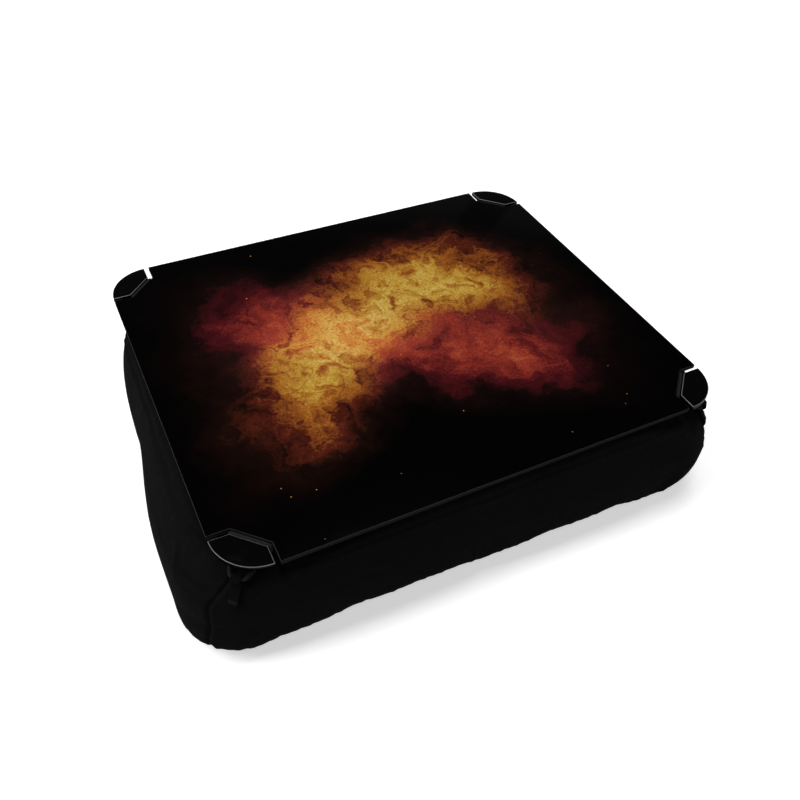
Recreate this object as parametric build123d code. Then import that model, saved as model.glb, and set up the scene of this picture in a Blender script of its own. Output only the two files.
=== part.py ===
from build123d import *
import math
import os

# Lap tray with a bead cushion, in millimetres.
# X runs along the front edge, Y from the front to the back, Z up from the surface it stands on.
# The origin is on that surface, under the middle of the board.

os.makedirs("parts", exist_ok=True)

# Overall sizes
board_width = 400.0
board_depth = 338.0
overall_height = 98.0

# Board: fibreboard core with a printed face and a balancing sheet beneath
core_thickness = 3.0
print_thickness = 0.2
backing_thickness = 0.2

# Notch in each board corner, and the open channel between it and the corner pad
notch_reach = 37.2
notch_leg = 15.7
channel_width = 3.9

# Corner cap
pad_edge_round = 0.6
flange_thickness = 2.0
neck_width = 23.0
neck_reach_under_pad = 11.0
flange_length = 12.5
flange_width = 36.0
flange_corner_round = 4.0
flange_setback = 0.6
rib_thickness = 1.4
rib_reach = 7.0
rib_spacing = 8.5

# Countersunk screws, two in each cap
screw_spacing = 19.0
screw_setback = 7.0
screw_radius = 1.25
screw_head_radius = 2.5
screw_length = 4.6
screw_tip_length = 0.8
screw_hole_clearance = 0.1
pilot_clearance = 0.05
pilot_extra_depth = 0.15

# Cushion outline
side_bulge = 12.0
waist_height = 45.0
top_draw_in = 10.0
bottom_draw_in = 14.0
waist_corner_radius = 47.0
top_corner_share = 0.47
bottom_corner_radius = 54.0
top_swell_power = 2.2
bottom_swell_power = 2.5
soft_clearance = 0.3

# Heights of the cushion's level outlines, as shares of the way from the waist to the end
level_shares = (0.3, 0.55, 0.75, 0.9, 0.975, 1.0)

# Cushion layers
cover_thickness = 1.0
liner_thickness = 0.6
liner_side_gap = 3.8
top_seam_drop = 10.3
bottom_seam_height = 9.0

# Zip across the back
zip_length = 300.0
zip_panel_margin = 6.0
zip_window_height = 10.4
zip_set_back = 1.0
tooth_pitch = 3.0
tooth_head_width = 1.3
tooth_neck_width = 0.9
tooth_overlap = 0.7
tooth_length = 2.2
tooth_root_width = 1.0
tooth_thickness = 2.2
tape_thickness = 0.6
tape_width = 9.0
stop_length = 2.0
stop_reach = 1.8
stop_thickness = 2.6

# Zip slider
slider_length = 11.0
slider_plate = 0.9
slider_flange = 0.8
slider_clearance = 0.2
slider_corner_round = 2.2
slider_stop_gap = 0.4
post_setback = 0.8
post_length = 2.2
post_height = 2.4
bridge_length = 6.4
bridge_opening = 1.9
bridge_thickness = 0.8
bridge_height = 2.0

# Zip pull, a plate whose end bar turns in the slider's bridge
pull_length = 24.0
pull_width = 5.6
pull_thickness = 1.1
pull_gap = 0.45
pull_bar_width = 1.1
pull_hole_height = 2.8
pull_hole_length = 4.6
pull_end_round = 2.0
pull_edge_round = 0.25

# Elastic loop and its tab at each corner
elastic_radius = 1.4
elastic_bend_radius = 2.6
elastic_turn_radius = 4.5
elastic_drop = 8.0
elastic_seat_gap = 0.1
elastic_tab_spread = 5.2
tab_width = 7.0
tab_layer = 1.0
tab_eye_clearance = 0.2
tab_eye_setback = 14.5
tab_eye_depth = 15.6
tab_foot_depth = 35.0
tab_foot_gap = 0.5
tab_wrap_share = 0.96

# One overrun serves every cut
overrun = 5.0

# Values worked out from the sizes above
half_width = board_width / 2
half_depth = board_depth / 2
board_thickness = core_thickness + print_thickness + backing_thickness
board_under = overall_height - board_thickness
cushion_height = board_under - soft_clearance
top_seam_height = cushion_height - top_seam_drop
top_corner_radius = top_corner_share * (board_depth - 2 * top_draw_in)
zip_half = zip_length / 2
zip_side = zip_half + zip_panel_margin
root_two = math.sqrt(2)
notch_turn = math.radians(45)

# Distances along a corner's diagonal, from the board's virtual sharp corner inwards
notch_diagonal = (notch_reach + notch_leg) / root_two
pad_diagonal = notch_diagonal - channel_width
channel_middle = (notch_diagonal + pad_diagonal) / 2
pad_reach = notch_reach - channel_width
pad_leg = pad_diagonal * root_two - pad_reach
flange_start = notch_diagonal + flange_setback
flange_end = flange_start + flange_length
screw_place = flange_start + screw_setback

# Signs of X and Y for the four corners
corners = {
    "front_left": (-1, -1),
    "front_right": (1, -1),
    "back_left": (-1, 1),
    "back_right": (1, 1),
}


def save(shape, name):
    """Write one named piece."""
    export_step(shape, f"parts/{name}.step")


def at_corner(shape, signs):
    """Mirror a shape modelled at the front left corner to another corner."""
    side, end = signs
    if side > 0:
        shape = mirror(shape, Plane.YZ)
    if end > 0:
        shape = mirror(shape, Plane.XZ)
    return shape


def corner_level(height):
    """Level plane at the front left virtual corner, with X along the diagonal inwards."""
    return Plane(origin=(-half_width, -half_depth, height), x_dir=(1, 1, 0), z_dir=(0, 0, 1))


def corner_upright():
    """Upright plane through the front left corner's diagonal, X inwards and Y up."""
    return Plane(origin=(-half_width, -half_depth, 0), x_dir=(1, 1, 0), z_dir=(1, -1, 0))


def board_outline():
    """The board's outline: a rectangle with a three-sided notch in each corner."""
    front_left = [
        (-half_width, -half_depth + notch_reach),
        (-half_width + notch_leg, -half_depth + notch_reach),
        (-half_width + notch_reach, -half_depth + notch_leg),
        (-half_width + notch_reach, -half_depth),
    ]
    front_right = [(-x, y) for x, y in reversed(front_left)]
    back_right = [(-x, -y) for x, y in front_left]
    back_left = [(x, -y) for x, y in reversed(front_left)]
    return make_face(Polyline(*front_left, *front_right, *back_right, *back_left, close=True))


def screw_places():
    """Places of one corner's screws, along and across the diagonal."""
    return [(screw_place, side * screw_spacing / 2) for side in (-1, 1)]


def at_screws(shape_at_level, height):
    """Copies of a shape at every screw of every corner."""
    level = corner_level(height)
    copies = []
    for signs in corners.values():
        for along, across in screw_places():
            shape = level * Pos(along, across, 0) * shape_at_level
            copies.append(at_corner(shape, signs))
    return copies


def upright_cylinder(radius, length):
    """A cylinder that stands on its base."""
    return Cylinder(radius, length, align=(Align.CENTER, Align.CENTER, Align.MIN))


def upright_cone(bottom_radius, top_radius, length):
    """A cone that stands on its base."""
    align = (Align.CENTER, Align.CENTER, Align.MIN)
    return Cone(bottom_radius, top_radius, length, align=align)


# Board

def make_core():
    """Fibreboard core with blind pilot holes for the cap screws."""
    bottom = board_under + backing_thickness
    core = extrude(Plane.XY.offset(bottom) * board_outline(), core_thickness)
    depth = screw_length - flange_thickness - backing_thickness + pilot_extra_depth
    pilot = upright_cylinder(screw_radius + pilot_clearance, depth)
    return core - at_screws(pilot, bottom)


def make_print_sheet():
    """Printed film on the core's face."""
    bottom = overall_height - print_thickness
    return extrude(Plane.XY.offset(bottom) * board_outline(), print_thickness)


def make_backing_sheet():
    """Balancing sheet beneath the core, with holes for the screws."""
    sheet = extrude(Plane.XY.offset(board_under) * board_outline(), backing_thickness)
    hole = upright_cylinder(screw_radius + pilot_clearance, backing_thickness)
    return sheet - at_screws(hole, board_under)


# Corner caps

def pad_outline():
    """Pad outline at the front left: a quarter round outside, three straight sides inside."""
    middle = pad_reach * (1 - 1 / root_two)
    outer = ThreePointArc((pad_reach, 0), (middle, middle), (0, pad_reach))
    inner = Polyline((0, pad_reach), (pad_leg, pad_reach), (pad_reach, pad_leg), (pad_reach, 0))
    return make_face(Curve() + [outer, inner])


def make_cap():
    """Moulded cap: glossy pad, neck below the channel, ribs, and a flange screwed to the board."""
    pad_plane = Plane(origin=(-half_width, -half_depth, board_under))
    pad = extrude(pad_plane * pad_outline(), board_thickness)
    pad = fillet(pad.edges().group_by(Axis.Z)[-1], pad_edge_round)

    level = corner_level(board_under - flange_thickness)
    neck_start = pad_diagonal - neck_reach_under_pad
    neck_length = flange_end - neck_start
    neck = Pos((neck_start + flange_end) / 2, 0, 0) * RectangleRounded(
        neck_length, neck_width, flange_corner_round
    )
    flange = Pos((flange_start + flange_end) / 2, 0, 0) * RectangleRounded(
        flange_length, flange_width, flange_corner_round
    )
    plate = extrude(level * (neck + flange), flange_thickness)

    rib_profile = make_face(
        Polyline(
            (neck_start + flange_thickness, board_under),
            (neck_start - rib_reach, board_under),
            (neck_start, board_under - flange_thickness),
            (neck_start + flange_thickness, board_under - flange_thickness),
            close=True,
        )
    )
    ribs = []
    for place in (-rib_spacing, 0, rib_spacing):
        rib = extrude(corner_upright() * rib_profile, rib_thickness / 2, both=True)
        across = Vector(1, -1, 0).normalized() * place
        ribs.append(Pos(across) * rib)

    holes = []
    for along, across in screw_places():
        place = level * Pos(along, across, 0)
        head_depth = screw_head_radius - screw_radius
        head = upright_cone(
            screw_head_radius + screw_hole_clearance, screw_radius + screw_hole_clearance, head_depth
        )
        shank = upright_cylinder(screw_radius + screw_hole_clearance, flange_thickness)
        holes += [place * head, place * shank]
    return pad + plate + ribs - holes


def make_screw():
    """Countersunk screw that points up, with its head's face at its base."""
    head_depth = screw_head_radius - screw_radius
    shank_length = screw_length - head_depth - screw_tip_length
    head = upright_cone(screw_head_radius, screw_radius, head_depth)
    shank = Pos(0, 0, head_depth) * upright_cylinder(screw_radius, shank_length)
    tip = Pos(0, 0, screw_length - screw_tip_length) * upright_cone(
        screw_radius, screw_radius / 2, screw_tip_length
    )
    return head + shank + tip


# Elastic loops and tabs

def make_elastic():
    """Round elastic: across the channel, down its legs, and through the tab's eye."""
    corner = Vector(-half_width, -half_depth, 0)
    along = Vector(1, 1, 0).normalized()
    across = Vector(1, -1, 0).normalized()
    seat = board_under + elastic_radius + elastic_seat_gap
    leg_place = channel_middle * math.tan(notch_turn / 2)

    def place(inwards, sideways, height):
        return corner + along * inwards + across * sideways + Vector(0, 0, height)

    low = overall_height - elastic_drop
    eye = overall_height - tab_eye_depth
    points = [
        place(tab_eye_setback, elastic_tab_spread, eye),
        place(channel_middle, leg_place, low),
        place(channel_middle, leg_place, seat),
        place(channel_middle, -leg_place, seat),
        place(channel_middle, -leg_place, low),
        place(tab_eye_setback, -elastic_tab_spread, eye),
    ]
    radii = [
        elastic_bend_radius,
        elastic_turn_radius,
        elastic_bend_radius,
        elastic_bend_radius,
        elastic_turn_radius,
        elastic_bend_radius,
    ]
    path = FilletPolyline(*points, radius=radii, close=True)
    start = path.edges()[0]
    section = Plane(origin=start @ 0, z_dir=start % 0) * Circle(elastic_radius)
    return sweep(section, path=path)


def make_tab():
    """Webbing folded round the elastic, which lies on the cushion's corner down to its foot."""
    eye = (tab_eye_setback, overall_height - tab_eye_depth)
    hole_radius = elastic_radius + tab_eye_clearance
    outer_radius = hole_radius + tab_layer
    foot_height = overall_height - tab_foot_depth
    foot = corner_surface(foot_height) - tab_foot_gap
    bend_height = (foot_height + eye[1]) / 2
    bend = corner_surface(bend_height) - tab_foot_gap
    strap = make_face(
        Polyline(
            (foot - 2 * tab_layer, foot_height),
            (foot, foot_height),
            (bend, bend_height),
            (eye[0] + outer_radius * tab_wrap_share, eye[1]),
            (eye[0] - outer_radius, eye[1]),
            (bend - 2 * tab_layer, bend_height),
            close=True,
        )
    )
    ring = Pos(*eye) * Circle(outer_radius)
    hole = Pos(*eye) * Circle(hole_radius)
    return extrude(corner_upright() * (strap + ring - hole), tab_width / 2, both=True)


# Cushion

def swell(share, power):
    """Rounding of the sides: one at the waist, nothing at the top or the bottom."""
    return (1 - share**power) ** (1 / power)


def wall_at(height):
    """How far the wall stands out past the board's edge at a height, and its corner radius."""
    if height >= waist_height:
        share = (height - waist_height) / (cushion_height - waist_height)
        full = swell(min(share, 1), top_swell_power)
        draw_in, end_radius = top_draw_in, top_corner_radius
    else:
        share = (waist_height - height) / waist_height
        full = swell(min(share, 1), bottom_swell_power)
        draw_in, end_radius = bottom_draw_in, bottom_corner_radius
    out = side_bulge - (side_bulge + draw_in) * (1 - full)
    radius = waist_corner_radius + (end_radius - waist_corner_radius) * (1 - full)
    return out, radius


def corner_surface(height):
    """Distance of the cushion's rounded corner from the virtual corner, along the diagonal."""
    out, radius = wall_at(height)
    return -out * root_two + radius * (root_two - 1)


def cushion_form(side_inset, end_inset):
    """The cushion's shape, moved in from its sides and from its top and bottom."""
    above = [waist_height + (cushion_height - waist_height) * share for share in level_shares]
    below = [waist_height * (1 - share) for share in reversed(level_shares)]
    shrink = (cushion_height - 2 * end_inset) / cushion_height
    sections = []
    for height in [*below, waist_height, *above]:
        out, radius = wall_at(height)
        width = board_width + 2 * (out - side_inset)
        depth = board_depth + 2 * (out - side_inset)
        outline = RectangleRounded(width, depth, radius - side_inset)
        sections.append(Plane.XY.offset(end_inset + height * shrink) * outline)
    return loft(sections, ruled=True)


def slab(bottom, top):
    """A level slab larger than the cushion, to cut it between two heights."""
    width = board_width + 2 * (side_bulge + overrun)
    depth = board_depth + 2 * (side_bulge + overrun)
    block = Box(width, depth, top - bottom, align=(Align.CENTER, Align.CENTER, Align.MIN))
    return Pos(0, 0, bottom) * block


def region(*points):
    """An upright prism over an outline, as high as the cushion."""
    outline = make_face(Polyline(*points, close=True))
    return extrude(outline, overall_height)


def make_cover():
    """The cover's panels, cut from one shell along its seams."""
    inside = cushion_form(cover_thickness, cover_thickness)
    shell = cushion_form(0, 0) - inside
    top = shell & slab(top_seam_height, overall_height)
    bottom = shell & slab(-overrun, bottom_seam_height)
    walls = shell & slab(bottom_seam_height, top_seam_height)

    reach = half_depth + side_bulge + overrun
    ridge = half_width - half_depth
    front = region((-ridge, 0), (-ridge - reach, -reach), (ridge + reach, -reach), (ridge, 0))
    side = region((-ridge, 0), (-ridge - reach, reach), (-ridge - reach, -reach))
    back_end = region((-zip_side, zip_side - ridge), (-zip_side, reach), (-ridge - reach, reach))
    back = region((-zip_side, 0), (zip_side, 0), (zip_side, reach), (-zip_side, reach))
    left_wall = walls & side
    left_end = walls & back_end
    back_wall = walls & back
    window = zip_window_height / 2
    return {
        "cover_top_panel": top,
        "cover_bottom_panel": bottom,
        "cover_front_panel": walls & front,
        "cover_left_panel": left_wall,
        "cover_right_panel": mirror(left_wall, Plane.YZ),
        "cover_back_panel_left": left_end,
        "cover_back_panel_right": mirror(left_end, Plane.YZ),
        "zip_panel_upper": back_wall & slab(waist_height + window, top_seam_height),
        "zip_panel_lower": back_wall & slab(bottom_seam_height, waist_height - window),
    }


def make_liner():
    """Closed inner bag that holds the beads."""
    side = cover_thickness + liner_side_gap
    end = cover_thickness + soft_clearance
    return cushion_form(side, end) - cushion_form(side + liner_thickness, end + liner_thickness)


def make_beads():
    """The bead fill, as one body of the liner's inner shape."""
    side = cover_thickness + liner_side_gap + liner_thickness + soft_clearance
    end = cover_thickness + liner_thickness + 2 * soft_clearance
    return cushion_form(side, end)


# Zip: its depth from the back wall, and the ends of its rows, slider and post along X
zip_face = half_depth + side_bulge - cover_thickness - zip_set_back
row_end = zip_half - stop_length
row_edge = tooth_length + tooth_root_width
slider_front = row_end - slider_stop_gap
slider_middle = slider_front - slider_length / 2
post_middle = slider_front - post_setback - post_length / 2
teeth_end = post_middle - post_length / 2 - slider_clearance
slider_edge = row_edge + slider_clearance + slider_flange
slider_face = tooth_thickness / 2 + slider_clearance + slider_plate
pull_axis = slider_face + pull_gap + pull_thickness / 2


def zip_plane(outwards):
    """Plane of the zip seen from the front: X along the cushion, Y up from the zip's middle line."""
    origin = (0, zip_face - tape_thickness / 2 + outwards, waist_height)
    return Plane(origin=origin, x_dir=(1, 0, 0), z_dir=(0, -1, 0))


def zip_slice(outline, inner, outer):
    """A slice of an outline in the zip's plane, between two distances out from the tape's middle."""
    return extrude(zip_plane(outer) * outline, outer - inner)


def tooth_row(first):
    """Outline of one moulded row: a strip along the tape's edge with a tooth at every pitch."""
    count = 1 + int((teeth_end - tooth_head_width / 2 - first) / tooth_pitch)
    points = [(-row_end, row_edge), (-row_end, tooth_length)]
    for number in range(count):
        middle = first + number * tooth_pitch
        points += [
            (middle - tooth_neck_width / 2, tooth_length),
            (middle - tooth_head_width / 2, -tooth_overlap),
            (middle + tooth_head_width / 2, -tooth_overlap),
            (middle + tooth_neck_width / 2, tooth_length),
        ]
    points += [(row_end, tooth_length), (row_end, row_edge)]
    return make_face(Polyline(*points, close=True))


def make_teeth():
    """The two rows of teeth, in mesh, the lower one half a pitch along."""
    half = tooth_thickness / 2
    upper = tooth_row(-row_end + tooth_pitch)
    lower = mirror(tooth_row(-row_end + tooth_pitch * 3 / 2), Plane.XZ)
    return zip_slice(upper, -half, half), zip_slice(lower, -half, half)


def make_tapes():
    """Woven tapes that carry the teeth, as long as the zip panels."""
    length = 2 * zip_side
    half = tape_thickness / 2
    tapes = []
    for side in (1, -1):
        outline = Pos(0, side * (row_edge + tape_width / 2)) * Rectangle(length, tape_width)
        tapes.append(zip_slice(outline, -half, half))
    return tapes


def make_stops():
    """Two top stops, one on each tape's edge, and a bottom stop across both."""
    half = stop_thickness / 2
    top_stops = []
    for side in (1, -1):
        place = Pos(zip_half - stop_length / 2, side * (row_edge - stop_reach / 2))
        top_stops.append(zip_slice(place * Rectangle(stop_length, stop_reach), -half, half))
    place = Pos(-zip_half + stop_length / 2, 0)
    bottom_stop = zip_slice(place * Rectangle(stop_length, 2 * row_edge), -half, half)
    return Compound(children=top_stops), bottom_stop


def make_slider():
    """Slider at the closed end: two plates with turned-in edges, the post between them, and a bridge."""
    outline = Pos(slider_middle, 0) * RectangleRounded(
        slider_length, 2 * slider_edge, slider_corner_round
    )
    inside = Pos(slider_middle, 0) * Rectangle(slider_length + overrun, 2 * (slider_edge - slider_flange))
    body = zip_slice(outline, -slider_face, slider_face)
    channel = zip_slice(inside, slider_plate - slider_face, slider_face - slider_plate)
    slot_half = tape_thickness / 2 + slider_clearance
    slot = Pos(slider_middle, 0) * Rectangle(slider_length + overrun, 2 * (slider_edge + overrun))
    body = body - channel - zip_slice(slot, -slot_half, slot_half)
    post = Pos(post_middle, 0) * Ellipse(post_length / 2, post_height / 2)
    post = zip_slice(post, -slider_face + slider_plate / 2, slider_face - slider_plate / 2)

    level = Plane(
        origin=(slider_middle, zip_face - tape_thickness / 2 + slider_face, waist_height),
        x_dir=(1, 0, 0),
        z_dir=(0, 0, 1),
    )
    rise = bridge_opening + bridge_thickness
    seat = slider_plate / 2
    arch = Pos(0, (rise - seat) / 2) * Rectangle(bridge_length + 2 * bridge_thickness, rise + seat)
    arch = fillet(arch.vertices().group_by(Axis.Y)[-1], bridge_opening)
    opening = Pos(0, bridge_opening / 2) * Rectangle(bridge_length, bridge_opening)
    opening = fillet(opening.vertices().group_by(Axis.Y)[-1], bridge_opening - bridge_thickness)
    bridge = extrude(level * (arch - opening), bridge_height / 2, both=True)
    return body + post + bridge


def make_pull():
    """Pull lying back along the closed teeth, its end bar inside the bridge."""
    bar = pull_bar_width / 2
    outline = Pos(slider_middle + bar - pull_length / 2, 0) * RectangleRounded(
        pull_length, pull_width, pull_end_round
    )
    hole_middle = slider_middle - bar - pull_hole_length / 2
    hole = Pos(hole_middle, 0) * Rectangle(pull_hole_length, pull_hole_height)
    half = pull_thickness / 2
    plate = zip_slice(outline - hole, pull_axis - half, pull_axis + half)
    far_edges = plate.edges().group_by(Axis.X)[0]
    return fillet(far_edges, pull_edge_round)


board_core = make_core()
save(board_core, "board_core")
save(make_print_sheet(), "print_sheet")
save(make_backing_sheet(), "backing_sheet")

cap = make_cap()
elastic = make_elastic()
tab = make_tab()
for corner_name, corner_signs in corners.items():
    save(at_corner(cap, corner_signs), f"corner_cap_{corner_name}")
    save(at_corner(elastic, corner_signs), f"elastic_loop_{corner_name}")
    save(at_corner(tab, corner_signs), f"elastic_tab_{corner_name}")
save(Compound(children=at_screws(make_screw(), board_under - flange_thickness)), "cap_screws")

for panel_name, panel in make_cover().items():
    save(panel, panel_name)
save(make_liner(), "liner_bag")
save(make_beads(), "bead_fill")
teeth_upper, teeth_lower = make_teeth()
save(teeth_upper, "zip_teeth_upper")
save(teeth_lower, "zip_teeth_lower")
tape_upper, tape_lower = make_tapes()
save(tape_upper, "zip_tape_upper")
save(tape_lower, "zip_tape_lower")
top_stops, bottom_stop = make_stops()
save(top_stops, "zip_top_stops")
save(bottom_stop, "zip_bottom_stop")
save(make_slider(), "zip_slider")
save(make_pull(), "zip_pull")
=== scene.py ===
import math

import bmesh
import bpy
import numpy as np
from bpy.props import FloatProperty, FloatVectorProperty, IntProperty, PointerProperty
from mathutils import Matrix, Vector
from mathutils.bvhtree import BVHTree


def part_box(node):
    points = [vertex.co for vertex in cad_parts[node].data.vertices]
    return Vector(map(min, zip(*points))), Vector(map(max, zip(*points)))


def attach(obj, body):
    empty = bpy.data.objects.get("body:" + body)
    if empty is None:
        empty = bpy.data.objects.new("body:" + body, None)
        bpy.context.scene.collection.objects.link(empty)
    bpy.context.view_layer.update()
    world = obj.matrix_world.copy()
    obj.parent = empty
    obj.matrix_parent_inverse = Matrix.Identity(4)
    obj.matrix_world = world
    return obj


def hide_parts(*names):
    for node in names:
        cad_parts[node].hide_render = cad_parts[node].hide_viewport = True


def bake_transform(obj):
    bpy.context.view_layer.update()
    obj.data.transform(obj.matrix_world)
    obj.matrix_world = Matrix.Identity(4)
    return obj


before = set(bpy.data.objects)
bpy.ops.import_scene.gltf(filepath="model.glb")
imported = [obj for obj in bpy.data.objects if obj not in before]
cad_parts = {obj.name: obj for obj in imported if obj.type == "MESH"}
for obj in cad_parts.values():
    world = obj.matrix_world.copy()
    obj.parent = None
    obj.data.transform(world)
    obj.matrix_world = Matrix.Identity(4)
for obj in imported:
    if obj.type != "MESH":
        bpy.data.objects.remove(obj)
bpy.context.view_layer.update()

bl_info = {
    "name": "Lap tray with cushion",
    "version": (1, 0, 0),
    "blender": (4, 5, 0),
    "location": "View3D > Sidebar > Lap tray",
    "description": "Dresses the packed lap tray: board, corner caps, cushion, elastics and zip",
    "category": "Add Mesh",
}

MM = 0.001
TURN = 2 * np.pi
UP = np.array([0, 0, 1.0])

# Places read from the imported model
BOARD_LOW, BOARD_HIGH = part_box("board_core")
FILM_LOW, FILM_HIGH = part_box("print_sheet")
BACKING_LOW, BACKING_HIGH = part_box("backing_sheet")
HALF_WIDTH, HALF_DEPTH = BOARD_HIGH.x, BOARD_HIGH.y
BOARD_TOP, BOARD_UNDER = FILM_HIGH.z, BACKING_LOW.z
COVER_LOW, COVER_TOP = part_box("cover_bottom_panel")[0].z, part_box("cover_top_panel")[1].z
PANEL_LOW, PANEL_TOP = (corner.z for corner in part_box("cover_front_panel"))
TAPE_LOW, TAPE_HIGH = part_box("zip_tape_upper")
BACK_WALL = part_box("zip_panel_upper")[1].y
ZIP_HEIGHT = (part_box("zip_tape_lower")[0].z + TAPE_HIGH.z) / 2
ZIP_END = TAPE_HIGH.x
WINDOW_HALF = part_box("zip_panel_upper")[0].z - ZIP_HEIGHT
CORNERS = {
    "front_left": (-1, -1),
    "front_right": (1, -1),
    "back_left": (-1, 1),
    "back_right": (1, 1),
}

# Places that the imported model's solids don't give directly
FLANGE_LOW = BACKING_LOW.z - 2 * MM
CHANNEL_IN, CHANNEL_HALF = 35.45 * MM, 14.68 * MM
EYE_IN, EYE_HALF = 14.5 * MM, 5.2 * MM
EYE_HEIGHT = BOARD_TOP - 15.6 * MM
FOOT_HEIGHT = BOARD_TOP - 35 * MM
STITCH_WALL = BACK_WALL - 0.15 * MM
FLANGE_REACH = 53 * MM
FOLD_FRONT, FOLD_BACK = -0.158, -0.110
FOLD_HEIGHT, FOLD_RISE = 68 * MM, 8 * MM

# Depths of the finest surfaces
SHARP_ROUND, FINE_GRAIN = 0.02 * MM, 0.003 * MM
COVER_RELIEF, THREAD_RELIEF = 0.12 * MM, 0.03 * MM

# Lamps: name, place, length of side in metres, and power in watts
LAMPS = (
    ("key_lamp", (-1.1, 0.25, 1.25), 0.9, 17),
    ("front_lamp", (0.45, -1.25, 1.3), 1.0, 4),
    ("top_lamp", (0.1, 0.0, 1.75), 0.8, 13),
)

# Plain settings of Blender's cloth, and the levels of its pinning
CLOTH = {
    "quality": 5, "mass": 0.25, "tension_stiffness": 18, "compression_stiffness": 12,
    "shear_stiffness": 8, "bending_stiffness": 0.4, "use_pressure": True,
}
HOLD_LEVELS = 20

# Seams: depth and width of the groove and of the ridge beside it, and the puckers' waves
GROOVE_DEPTH, GROOVE_WIDTH = 1.1 * MM, 1.1 * MM
RIDGE_HEIGHT, RIDGE_WIDTH, RIDGE_OFF = 0.45 * MM, 1.8 * MM, 3.6 * MM
PUCKER_DEPTH, PUCKER_REACH, PUCKER_START = 0.32 * MM, 8 * MM, 2 * MM
PUCKER_LENGTH, SLOW_PUCKER_LENGTH = 8.3 * MM, 13.1 * MM

# The cushion's grid: rows of its wall above and below the waist, how full each is as the power
# of its super-ellipse, and rings of its top and of its bottom
UPPER_ROWS, LOWER_ROWS, RINGS = 37, 35, 14
UPPER_POWER, LOWER_POWER = 2.2, 2.5

# Bell-shaped shifts of the cushion: axis, how far, centre, spread, and the part that moves
LEANS = (
    (0, -14 * MM, (-HALF_WIDTH, -HALF_DEPTH), (0.12, 0.13), "wall"),
    (1, 8 * MM, (-HALF_WIDTH, -HALF_DEPTH), (0.12, 0.13), "wall"),
    (0, -6 * MM, (-HALF_WIDTH, -0.06), (0.12, 0.06), "wall"),
    (0, -5 * MM, (HALF_WIDTH, -HALF_DEPTH), (0.10, 0.09), "wall"),
    (1, -4 * MM, (HALF_WIDTH, -HALF_DEPTH), (0.12, 0.10), "wall"),
    (1, 2 * MM, (0.0, -HALF_DEPTH), (0.12, 0.06), "wall"),
    (0, -9 * MM, (-HALF_WIDTH, -HALF_DEPTH), (0.09, 0.09), "foot"),
    (1, -4 * MM, (-HALF_WIDTH, -HALF_DEPTH), (0.09, 0.09), "foot"),
    (0, 12 * MM, (-HALF_WIDTH, 0.145), (0.06, 0.045), "back corner"),
    (0, 3 * MM, (-HALF_WIDTH, 0.135), (0.06, 0.055), "back wall"),
)


# Sizes and colours that a user would change

def a_length(name, description, millimetres):
    """A setting for a length."""
    return FloatProperty(
        name=name, description=description, default=millimetres * MM, unit="LENGTH"
    )


def an_angle(name, description, degrees):
    """A setting for an angle."""
    return FloatProperty(
        name=name, description=description, default=math.radians(degrees), subtype="ANGLE"
    )


def a_colour(name, description, *value):
    """A setting for a colour."""
    return FloatVectorProperty(name=name, description=description, default=value, subtype="COLOR")


class BoardSettings(bpy.types.PropertyGroup):
    """Board: its notches, edges and print."""

    notch_reach: a_length("Notch reach", "How far a notch runs along an edge", 37.2)
    notch_leg: a_length("Notch leg", "Depth of a notch's straight legs", 15.7)
    edge_round: a_length("Edge rounding", "Rounding of the core's lower edge", 0.35)
    edge_colour: a_colour("Edge colour", "Stained fibreboard edge", 0.004, 0.0038, 0.0038)
    cut_colour: a_colour("Cut film colour", "Core of the film at its cut edge", 0.055, 0.05, 0.052)
    backing_colour: a_colour("Backing colour", "Sheet below the board", 0.03, 0.03, 0.032)
    plume_scale: a_length("Plume scale", "Half length of the printed plume", 195)


class CapSettings(bpy.types.PropertyGroup):
    """Moulded corner caps."""

    colour: a_colour("Colour", "Moulded plastic", 0.001, 0.001, 0.0011)
    # Painted highlight: this light grey on the pads' top rounding stands in for the lamps' bright
    # reflections round each pad
    edge_colour: a_colour("Edge colour", "Painted highlight on the rounding round each pad", 0.16, 0.16, 0.165)
    roughness: FloatProperty(name="Roughness", description="Gloss of the pads", default=0.12)
    highlight_rim_height: a_length("Highlight rim height", "Height of the rounding with the painted highlight", 0.34)
    smooth_angle: an_angle("Smooth angle", "Edges sharper than this stay sharp", 32)


class CushionSettings(bpy.types.PropertyGroup):
    """Soft cushion: its form, its cloth and its seams."""

    bulge: a_length("Bulge", "How far the waist stands out past the board", 11.5)
    waist: a_length("Waist height", "Height of the fullest level", 45)
    top_draw_in: a_length("Top draw-in", "Top edge's distance inside the board's edge", 9)
    bottom_draw_in: a_length("Bottom draw-in", "The same distance of the bottom edge", 14)
    waist_radius: a_length("Waist corner", "Corner radius at the waist", 47)
    top_radius: a_length("Top corner", "Corner radius at the top", 149)
    bottom_radius: a_length("Bottom corner", "Corner radius at the bottom", 54)
    columns: IntProperty(
        name="Columns", description="Simulated columns in each eighth of the cover", default=36
    )
    smoothings: IntProperty(
        name="Smoothings", description="Times that the simulated shift is evened out", default=3
    )
    sim_frames: IntProperty(name="Frames", description="Frames of cloth simulation", default=20)
    pressure: FloatProperty(name="Pressure", description="Pressure of the bead fill", default=4.0)
    spare_cloth: FloatProperty(
        name="Spare cloth", description="Share by which the cloth is too large", default=0.015
    )
    move_cap: a_length("Movement cap", "Most that the simulation may move a point", 6)
    lump_height: a_length("Lump height", "Unevenness of the bead filling", 1.4)
    colour: a_colour("Colour", "Cover cloth", 0.0036, 0.0037, 0.0039)
    thread_pitch: a_length("Thread pitch", "Distance of the cover's threads", 0.5)
    liner_inset: a_length("Liner inset", "How far the inner bag lies inside the cover", 4.8)


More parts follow.
